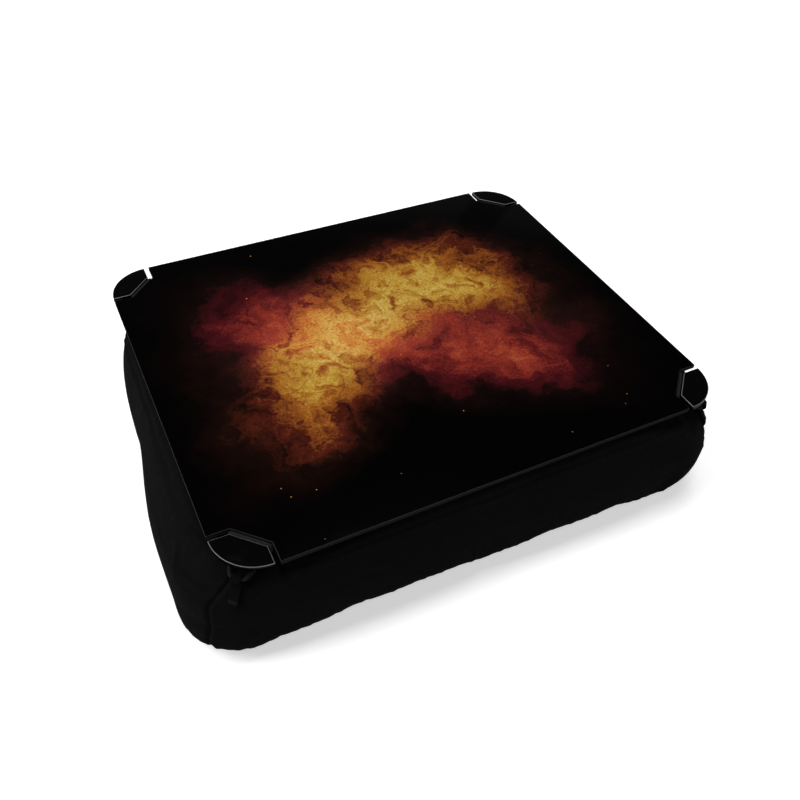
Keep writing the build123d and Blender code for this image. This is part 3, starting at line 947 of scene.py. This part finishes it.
def refined(field):
    """A grid with a new row and column between each two, on the cubic through their neighbours."""
    ahead, behind = np.roll(field, -1, 1), np.roll(field, 1, 1)
    middle = (9 * (field + ahead) - behind - np.roll(field, -2, 1)) / 16
    wide = np.stack([field, middle], axis=2).reshape(len(field), -1, field.shape[-1])
    ends = np.concatenate([wide[:1], wide, wide[-1:]])
    tall = np.zeros((2 * len(wide) - 1, *wide.shape[1:]))
    tall[::2] = wide
    tall[1::2] = (9 * (wide[:-1] + wide[1:]) - ends[:-3] - ends[3:]) / 16
    return tall


def simulated_shift(grid, settings):
    """How far Blender's cloth, inflated a little, moves each point of a grid. The cloth is made
    slightly larger than the form so that it wrinkles. Its shift is evened out over neighbours, and
    no point moves further than the cap."""
    mesh = grid_mesh("cover_cloth_work", grid, caps=(True, True))
    piece = link("cover_cloth_work", mesh)
    start = read(mesh.vertices, "co")
    group = piece.vertex_groups.new(name="held")
    held = np.round(pin_weights(start) * HOLD_LEVELS).astype(int)
    for level in range(1, HOLD_LEVELS + 1):
        group.add(np.flatnonzero(held == level).tolist(), level / HOLD_LEVELS, "REPLACE")
    modifier = piece.modifiers.new("Cloth", "CLOTH")
    cloth = modifier.settings
    for name, value in CLOTH.items():
        setattr(cloth, name, value)
    cloth.uniform_pressure_force = settings.pressure
    cloth.shrink_min = -settings.spare_cloth
    cloth.vertex_group_mass = group.name
    cloth.effector_weights.gravity = 0
    scene = bpy.context.scene
    modifier.point_cache.frame_end = settings.sim_frames
    for number in range(1, settings.sim_frames + 1):
        scene.frame_set(number)
    shaped = piece.evaluated_get(bpy.context.evaluated_depsgraph_get())
    end = read(shaped.to_mesh().vertices, "co")
    shaped.to_mesh_clear()
    scene.frame_set(1)
    bpy.data.objects.remove(piece)
    bpy.data.meshes.remove(mesh)
    moved = (end - start)[: grid.shape[0] * grid.shape[1]].reshape(grid.shape)
    for _ in range(settings.smoothings):
        moved = (np.roll(moved, 1, 1) + 2 * moved + np.roll(moved, -1, 1)) / 4
        tall = np.concatenate([moved[:1], moved, moved[-1:]])
        moved = (tall[:-2] + 2 * tall[1:-1] + tall[2:]) / 4
    length = np.linalg.norm(moved, axis=-1, keepdims=True)
    cap = settings.move_cap
    return moved * cap * np.tanh(length / cap) / np.maximum(length, 1e-9)


def grid_normals(points):
    """Outward normals of a grid: the cross product of its steps down and across."""
    across = np.roll(points, -1, 1) - np.roll(points, 1, 1)
    return unit(np.cross(np.gradient(points, axis=0), across))


def keep_clear(points):
    """Keeps the cover on the floor, below the board, and below the caps' flanges at its corners."""
    x, y = np.abs(points[..., 0]), np.abs(points[..., 1])
    inside = (x < HALF_WIDTH + 1 * MM) & (y < HALF_DEPTH + 1 * MM)
    off = (HALF_WIDTH + HALF_DEPTH - x - y) / math.sqrt(2)
    ceiling = np.where(inside, COVER_TOP, COVER_TOP + 1.5 * MM)
    ceiling = np.where(off < FLANGE_REACH, FLANGE_LOW - 0.6 * MM, ceiling)
    clear = points.copy()
    clear[..., 2] = np.clip(clear[..., 2], COVER_LOW, ceiling)
    return clear


def sew(points):
    """Draws the seams into the cloth: a groove at each, a soft ridge beside it, and puckers that
    fade away from it. The groove and ridge are bell curves of the distance from the seam."""
    z = points[..., 2]
    seams = points[:, :: points.shape[1] // 4]
    from_corner = np.linalg.norm(points[:, :, None] - seams[:, None], axis=-1).min(2)
    wall = (z < PANEL_TOP) & (z > PANEL_LOW)
    level = np.minimum(np.abs(z - PANEL_TOP), np.abs(z - PANEL_LOW))
    waist = np.linalg.norm(np.roll(points, -1, 1) - points, axis=-1).max(0)
    inwards = 0
    for distance, along, here in ((from_corner, z, wall), (level, np.cumsum(waist)[None, :], 1)):
        slow = 0.8 * np.sin(along * TURN / SLOW_PUCKER_LENGTH + 1)
        wave = np.sin(along * TURN / PUCKER_LENGTH) + slow
        groove = GROOVE_DEPTH * hill(distance, GROOVE_WIDTH)
        ridge = RIDGE_HEIGHT * hill(distance - RIDGE_OFF, RIDGE_WIDTH)
        share = hill(distance, PUCKER_REACH) * (1 - np.exp(-distance / PUCKER_START))
        inwards = inwards + here * (groove - ridge + PUCKER_DEPTH * wave * share)
    return points - grid_normals(points) * inwards[..., None]


def crease(points):
    """Presses a fold into the left wall near its front corner: a groove along a line that bends
    up at its back end, and a soft roll below it, both bell curves of the height from that line."""
    x, y, z = points[..., 0], points[..., 1], points[..., 2]
    line = FOLD_HEIGHT + FOLD_RISE * fade(y, FOLD_BACK - 18 * MM, FOLD_BACK - 4 * MM) ** 2
    ends = fade(y, FOLD_FRONT, FOLD_FRONT + 9 * MM) * fade(y, FOLD_BACK, FOLD_BACK - 8 * MM)
    groove = 2.4 * MM * hill(z - line, 1.2 * MM)
    roll = 1.4 * MM * hill(z - line + 3.4 * MM, 2.4 * MM)
    left = x < 10 * MM - HALF_WIDTH
    return points - grid_normals(points) * (ends * left * (groove - roll))[..., None]


class TRAY_OT_cushion(bpy.types.Operator):
    """Add the cushion's cover, with its cloth simulation, seams and creases"""

    bl_idname = "tray.cushion"
    bl_label = "Cushion cover"

    def execute(self, context):
        settings = context.scene.lap_tray.cushion
        flat = cushion_surface(settings)
        grid = zip_trough(lean(flat))
        grid = grid + refined(simulated_shift(grid[::2, ::2], settings))
        loose = (1 - pin_weights(grid))[..., None]
        lumps = settings.lump_height * bead_lumps(grid)[..., None] * loose
        grid = keep_clear(crease(sew(grid + grid_normals(grid) * lumps)))
        cloth = woven_material("Cover cloth", settings.colour, settings.thread_pitch, COVER_RELIEF)
        cover = grid_piece("cushion_cover", grid, cloth, caps=(True, True), uv=cloth_uv(flat))
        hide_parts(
            "cover_top_panel", "cover_bottom_panel", "cover_front_panel",
            "cover_left_panel", "cover_right_panel", "cover_back_panel_left",
            "cover_back_panel_right", "zip_panel_upper", "zip_panel_lower",
        )
        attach(cover, "cushion")
        return {"FINISHED"}


class TRAY_OT_filling(bpy.types.Operator):
    """Add the inner bag and its bead filling, hidden inside the cover"""

    bl_idname = "tray.filling"
    bl_label = "Filling"

    def execute(self, context):
        settings = context.scene.lap_tray.cushion
        bag, fill = settings.liner_inset, settings.liner_inset + 1 * MM
        for name, node, inset, slot, colour, pitch in (
            ("inner_bag", "liner_bag", bag, "liner_cloth", (0.75, 0.75, 0.73), 0.3 * MM),
            ("beads", "bead_fill", fill, "beads", (0.86, 0.86, 0.86), 3.0 * MM),
        ):
            label = name.replace("_", " ").capitalize()
            cloth = woven_material(label, colour, pitch, pitch * 0.1, from_object=True)
            grid = lean(cushion_surface(settings, inset))
            piece = grid_piece(name, grid, cloth, caps=(True, True))
            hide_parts(node)
            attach(piece, "cushion")
        return {"FINISHED"}


# Elastic loops and tabs

def corner_frame(signs):
    """A corner's virtual sharp point, and its level directions inwards and across."""
    side, end = signs
    origin = np.array([side * HALF_WIDTH, end * HALF_DEPTH, 0.0])
    inwards = np.array([-side, -end, 0.0]) / math.sqrt(2)
    across = np.array([-side, end, 0.0]) / math.sqrt(2)
    return origin, inwards, across


def elastic_corners(signs, settings):
    """Corners of the elastic's route: over the cap's neck, down both legs, and through the tab."""
    origin, inwards, across = corner_frame(signs)
    seat, low = BOARD_UNDER + settings.radius + 0.1 * MM, BOARD_TOP - 8 * MM
    half = [(EYE_IN, EYE_HALF, EYE_HEIGHT), (CHANNEL_IN, CHANNEL_HALF, low),
            (CHANNEL_IN, CHANNEL_HALF, seat)]
    route = half + [(a, -b, c) for a, b, c in half[::-1]]
    return [origin + inwards * a + across * b + UP * c for a, b, c in route]


class TRAY_OT_elastics(bpy.types.Operator):
    """Add the braided elastic loops in their resting shape; the real ones stretch when the board
    lifts
    """

    bl_idname = "tray.elastics"
    bl_label = "Elastic loops"

    def execute(self, context):
        settings = context.scene.lap_tray.elastic
        material = woven_material("Braided elastic", settings.colour, 0.35 * MM, 0.05 * MM)
        bends = [2.6 * MM, 4.5 * MM, 2.6 * MM] * 2
        spacing = 0.3 * MM
        sides = 4 * settings.strands
        angle = np.linspace(0, TURN, sides, endpoint=False)[None, :] * (settings.strands / 2)
        for corner, signs in CORNERS.items():
            corners = elastic_corners(signs, settings)
            path = rounded_path(corners, bends, spacing)
            whole = len(path) * spacing
            repeats = round(whole / settings.braid_pitch)
            along = np.linspace(0, TURN * repeats, len(path), endpoint=False)[:, None]
            strands = np.maximum(np.sin(angle + along), np.sin(angle - along))
            radius = settings.radius + settings.braid_relief * (strands - 1)
            aside = corner_frame(signs)[1] * 0.82 - UP * 0.57
            points = tube_grid(path, radius, sides, closed=True, aside=aside)
            uv = net(
                np.linspace(0, TURN * settings.radius, sides + 1),
                np.linspace(0, whole, len(path) + 1),
            )
            elastic = grid_piece(f"elastic_{corner}", points, material, wrap_rows=True, uv=uv)
            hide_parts(f"elastic_loop_{corner}")
            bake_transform(elastic)
        return {"FINISHED"}


def stitches(name, path, normal, length, gap, radius):
    """Stitches along a path: short tubes, one after another. Each rises and falls as half a sine
    wave, and its ends are sunk."""
    path, normal = np.array(path, float), np.array(normal, float)
    steps = distances(path)
    share = np.linspace(0, 1, 7)
    rise = normal * (radius * (1.6 * np.sin(np.pi * share) - 0.6))[:, None]
    meshes = []
    for start in np.arange(gap, steps[-1] - length, length + gap):
        line = between(start + share * length, steps, path) + rise
        tube = tube_grid(line, radius, sides=6, closed=False, aside=normal)
        meshes.append(grid_mesh("stitch", tube, caps=(True, True)))
    return join(name, meshes)


class TRAY_OT_tabs(bpy.types.Operator):
    """Add the webbing tabs, folded round the elastics and sewn to the cushion's corners"""

    bl_idname = "tray.tabs"
    bl_label = "Webbing tabs"

    def execute(self, context):
        settings = context.scene.lap_tray.elastic
        webbing = woven_material("Webbing", settings.tab_colour, 0.7 * MM, 0.16 * MM)
        thread = woven_material("Thread", settings.thread_colour, 0.2 * MM, THREAD_RELIEF, True)
        graph = bpy.context.evaluated_depsgraph_get()
        surface = BVHTree.FromObject(bpy.data.objects["cushion_cover"], graph)
        for corner, signs in CORNERS.items():
            axes = corner_frame(signs)
            inner, outer, loop = tab_lines(axes, settings, surface)
            build_tab(corner, axes, settings, (inner, loop, outer[::-1]), webbing)
            build_tack(corner, axes, settings, outer, thread)
        return {"FINISHED"}


def tab_lines(axes, settings, surface):
    """A tab's middle line in its upright plane, as distances inwards and heights: up the cushion's
    wall from a foot in the seam, down again outside that, and between them more than half an
    ellipse round the elastic."""
    origin, inwards, _ = axes
    thick = settings.tab_thickness
    ring = settings.radius + 0.2 * MM + thick / 2
    heights = np.linspace(FOOT_HEIGHT, EYE_HEIGHT - 5.5 * MM, 12)
    contact = []
    for height in heights:
        start = Vector(origin - inwards * 0.05) + Vector((0, 0, height))
        hit = surface.ray_cast(start, Vector(inwards))[0]
        contact.append((hit - Vector(origin)).dot(Vector(inwards)) if hit else 6 * MM)
    inner = np.stack([np.array(contact) - 0.6 * MM - thick / 2, heights], axis=-1)
    inner[:, 0] = np.minimum(inner[:, 0], EYE_IN + ring * 0.9)
    inner[:, 0] += 2.4 * MM * fade(heights, FOOT_HEIGHT + 3 * MM, FOOT_HEIGHT)
    outer = inner + np.array([-thick * 1.05, 0])
    past_half = 0.55
    turn = np.linspace(-past_half, np.pi + past_half, 17)
    wide, middle = ring + 0.7 * MM, EYE_IN - 0.4 * MM
    loop = np.stack([middle + wide * np.cos(turn), EYE_HEIGHT + ring * np.sin(turn)], axis=-1)
    return inner, outer, loop


def build_tab(corner, axes, settings, lines, webbing):
    """One tab: a flat strap along its lines, its section a rounded rectangle with small ribs."""
    origin, inwards, across = axes
    width = settings.tab_width
    line = np.concatenate(lines)
    path = origin + line[:, :1] * inwards + UP * line[:, 1:]
    face = np.cross(unit(np.gradient(path, axis=0)), across)
    steps = distances(path)
    fine = np.linspace(0, steps[-1], len(line) * 5)
    path, face = between(fine, steps, path), unit(between(fine, steps, face))
    around = np.linspace(0, TURN, 28, endpoint=False)
    flat = blunt(np.cos(around), 0.35) * width / 2
    deep = blunt(np.sin(around), 0.55) * settings.tab_thickness / 2
    ribs = 1 + 0.07 * np.sin(np.arange(len(path)) * 1.6)[:, None]
    points = path[:, None] + across * flat[None, :, None]
    points = points + face[:, None] * (deep[None] * ribs)[..., None]
    uv = net(np.linspace(0, 2 * width, 29), fine)
    piece = grid_piece(f"tab_{corner}", points, webbing, caps=(True, True), uv=uv)
    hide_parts(f"elastic_tab_{corner}")
    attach(piece, "cushion")


def build_tack(corner, axes, settings, outer, thread):
    """A bar tack across a tab's foot: three rows of short stitches."""
    origin, inwards, across = axes
    side = across * settings.tab_width * 0.46
    rows = []
    for height in (FOOT_HEIGHT + level for level in (4.2 * MM, 4.9 * MM, 5.6 * MM)):
        reach = np.interp(height, outer[:, 1], outer[:, 0]) - settings.tab_thickness / 2
        at = origin + inwards * reach + UP * height
        ends = [at - side, at + side]
        rows.append(
            stitches("row", ends, -inwards, length=0.9 * MM, gap=0.12 * MM, radius=0.24 * MM)
        )
    tack = dress(link(f"bar_tack_{corner}", join(f"bar_tack_{corner}", rows)), thread)
    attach(tack, "cushion")


# Zip

def facing_strip(name, sign, settings, cloth):
    """Folded cloth beside the zip: a flat rounded section carried along X, lying on the wall, with
    small ripples on its face and its far edge drawn in."""
    end = ZIP_END + 3 * MM
    across = np.linspace(-end, end, 160)
    turn = np.linspace(0, TURN, 40, endpoint=False)
    height, thick = settings.facing_height, settings.facing_thickness
    up = blunt(np.cos(turn), 0.4) * height / 2
    out = blunt(np.sin(turn), 0.6) * thick / 2
    ripple = 0.12 * MM * np.sin(across * TURN / (6.4 * MM))[:, None] * (out > 0)
    thin = fade(np.abs(across), end, end - 1.5 * MM)[:, None] ** 0.5
    y = STITCH_WALL - thick / 2 + out * (0.4 + 0.6 * thin) + ripple
    y = y - (up * sign > 0) * 0.9 * MM * (np.abs(up) / (height / 2)) ** 2
    z = ZIP_HEIGHT + sign * (WINDOW_HALF + height / 2) + up
    points = np.stack(np.broadcast_arrays(across[:, None], y, z), axis=-1)
    uv = net(np.linspace(0, 2 * height, 41), across)
    return grid_piece(name, points, cloth, caps=(True, True), uv=uv)


class TRAY_OT_zip(bpy.types.Operator):
    """Add the zip's facings and topstitching, and finish its chain, stops, slider and pull"""

    bl_idname = "tray.zip"
    bl_label = "Zip"

    def execute(self, context):
        settings = context.scene.lap_tray.zip
        cushion = context.scene.lap_tray.cushion
        shaded = [part * 0.25 for part in context.scene.lap_tray.elastic.thread_colour]
        cloth = woven_material("Facing cloth", cushion.colour, cushion.thread_pitch, COVER_RELIEF)
        thread = woven_material("Topstitch", shaded, 0.2 * MM, THREAD_RELIEF, True)
        for label, sign in (("upper", 1), ("lower", -1)):
            strip = facing_strip(f"zip_facing_{label}", sign, settings, cloth)
            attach(strip, "cushion")
            height = ZIP_HEIGHT + sign * (WINDOW_HALF + 2.2 * MM)
            line = [(-ZIP_END, STITCH_WALL, height), (ZIP_END, STITCH_WALL, height)]
            name = f"topstitch_{label}"
            rows = stitches(
                name, line, (0, 1, 0), settings.stitch_length, gap=0.7 * MM, radius=0.22 * MM
            )
            row = dress(link(name, rows), thread)
            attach(row, "cushion")
        tape = woven_material("Zip tape", settings.tape_colour, 0.5 * MM, 0.1 * MM, True)
        teeth = moulded_material("Moulded teeth", settings.teeth_colour, 0.3, 0.01 * MM)
        enamel = metal_material("Black enamel", settings.metal_colour, 0.28, 0.6)
        for node, material in (
            ("zip_tape_upper", tape), ("zip_tape_lower", tape), ("zip_teeth_upper", teeth),
            ("zip_teeth_lower", teeth), ("zip_top_stops", enamel), ("zip_bottom_stop", enamel),
        ):
            dress(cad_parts[node], material)
        for node in ("zip_slider", "zip_pull"):
            piece = dress(smooth_copy(node, f"{node}_smooth", math.radians(35)), enamel)
            edge = piece.modifiers.new("Edge", "BEVEL")
            edge.width = 0.12 * MM
            edge.segments = 2
            edge.limit_method = "ANGLE"
            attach(piece, node)
        return {"FINISHED"}


# Stage

class TRAY_OT_stage(bpy.types.Operator):
    """Add the camera, the lamps, the floor and the backdrop"""

    bl_idname = "tray.stage"
    bl_label = "Stage"

    def execute(self, context):
        settings = context.scene.lap_tray.stage
        add_camera(settings)
        add_floor(settings)
        for lamp in LAMPS:
            add_lamp(*lamp)
        world = bpy.data.worlds.new("Studio")
        world.use_nodes = True
        sky = world.node_tree.nodes["Background"]
        sky.inputs["Color"].default_value = (1, 1, 1, 1)
        sky.inputs["Strength"].default_value = settings.world_level
        context.scene.world = world
        context.scene.view_settings.view_transform = "Standard"
        return {"FINISHED"}


def add_camera(settings):
    """Camera at the photograph's place: turned about the vertical, tipped down, then rolled."""
    data = bpy.data.cameras.new("camera")
    data.lens = settings.lens
    data.sensor_width = 36
    data.sensor_fit = "HORIZONTAL"
    camera = link("camera", data)
    turn = Matrix.Rotation(settings.azimuth, 4, "Z")
    tip = Matrix.Rotation(math.pi / 2 - settings.pitch, 4, "X")
    roll = Matrix.Rotation(settings.roll, 4, "Z")
    camera.matrix_world = Matrix.Translation(settings.camera_place) @ turn @ tip @ roll
    bpy.context.scene.camera = camera


def add_floor(settings):
    """Pale floor that curves up into a backdrop all round: a profile turned about the vertical.
    It is white to the camera, and dim in the tray's glossy faces."""
    reach, bend = settings.floor_reach, 1.2
    curve = np.linspace(0, np.pi / 2, 12)[1:]
    radius = np.array([0.02, 1.5, reach - bend, *(reach - bend + bend * np.sin(curve)), reach])
    z = np.array([0, 0, 0, *(bend - bend * np.cos(curve)), settings.wall_height]) - 0.05 * MM
    angle = np.linspace(0, TURN, 96, endpoint=False)
    x, y = radius[:, None] * np.cos(angle), radius[:, None] * np.sin(angle)
    points = np.stack(np.broadcast_arrays(x, y, z[:, None]), axis=-1)
    material, tree, shader = new_material(
        "Studio floor", Roughness=0.9, Specular_IOR_Level=0.0, Emission_Color=(1, 1, 1, 1)
    )
    place = object_place(tree)
    pale = settings.floor_colour
    shade = noise(tree, place, 1 / 0.8, detail=2)
    base = blend_colour(tree, shade, [part * 0.985 for part in pale], pale)
    ray = add(tree, "ShaderNodeLightPath").outputs
    mirrored = calc(tree, "ADD", ray["Is Glossy Ray"], ray["Is Transmission Ray"])
    seen = calc(tree, "MULTIPLY_ADD", mirrored, 0.1, ray["Is Camera Ray"])
    flat = vector(tree, "MULTIPLY", place, (1, 1, 0))
    away = add(tree, "ShaderNodeVectorMath", {0: flat}, operation="LENGTH").outputs["Value"]
    wire(
        tree, shader,
        Base_Color=blend_colour(tree, ray["Is Glossy Ray"], base, (0.2, 0.2, 0.2)),
        Emission_Strength=calc(tree, "MULTIPLY", seen, span(tree, away, 0.3, 2.0, 0.52, 0.95)),
    )
    floor = grid_piece("floor", points, material, caps=(True, False))


def add_lamp(name, place, size, power):
    """A square soft lamp that faces the tray."""
    data = bpy.data.lights.new(name, "AREA")
    data.shape = "SQUARE"
    data.size = size
    data.energy = power
    lamp = link(name, data)
    lamp.location = place
    aim = Vector((0, 0, 0.05)) - Vector(place)
    lamp.rotation_mode = "QUATERNION"
    lamp.rotation_quaternion = aim.to_track_quat("-Z", "Y")


# Add-on

class TRAY_PT_panel(bpy.types.Panel):
    """Lap tray's pieces, in the 3D view's sidebar"""

    bl_idname = "TRAY_PT_panel"
    bl_label = "Lap tray"
    bl_space_type = "VIEW_3D"
    bl_region_type = "UI"
    bl_category = "Lap tray"

    def draw(self, context):
        for operator in OPERATORS:
            self.layout.operator(operator.bl_idname)


OPERATORS = (
    TRAY_OT_stage, TRAY_OT_board, TRAY_OT_caps, TRAY_OT_cushion, TRAY_OT_filling,
    TRAY_OT_elastics, TRAY_OT_tabs, TRAY_OT_zip,
)
GROUPS = (
    BoardSettings, CapSettings, CushionSettings, ElasticSettings, ZipSettings, StageSettings,
    TraySettings,
)


def register():
    """Registers the settings, the operators and the panel."""
    for kind in (*GROUPS, *OPERATORS, TRAY_PT_panel):
        bpy.utils.register_class(kind)
    bpy.types.Scene.lap_tray = PointerProperty(type=TraySettings)


def unregister():
    """Takes them out again."""
    del bpy.types.Scene.lap_tray
    for kind in reversed((*GROUPS, *OPERATORS, TRAY_PT_panel)):
        bpy.utils.unregister_class(kind)


def main():
    """Builds every piece in order."""
    register()
    bpy.ops.tray.stage()
    bpy.ops.tray.board()
    bpy.ops.tray.caps()
    bpy.ops.tray.cushion()
    bpy.ops.tray.filling()
    bpy.ops.tray.elastics()
    bpy.ops.tray.tabs()
    bpy.ops.tray.zip()


if __name__ == "__main__":
    main()
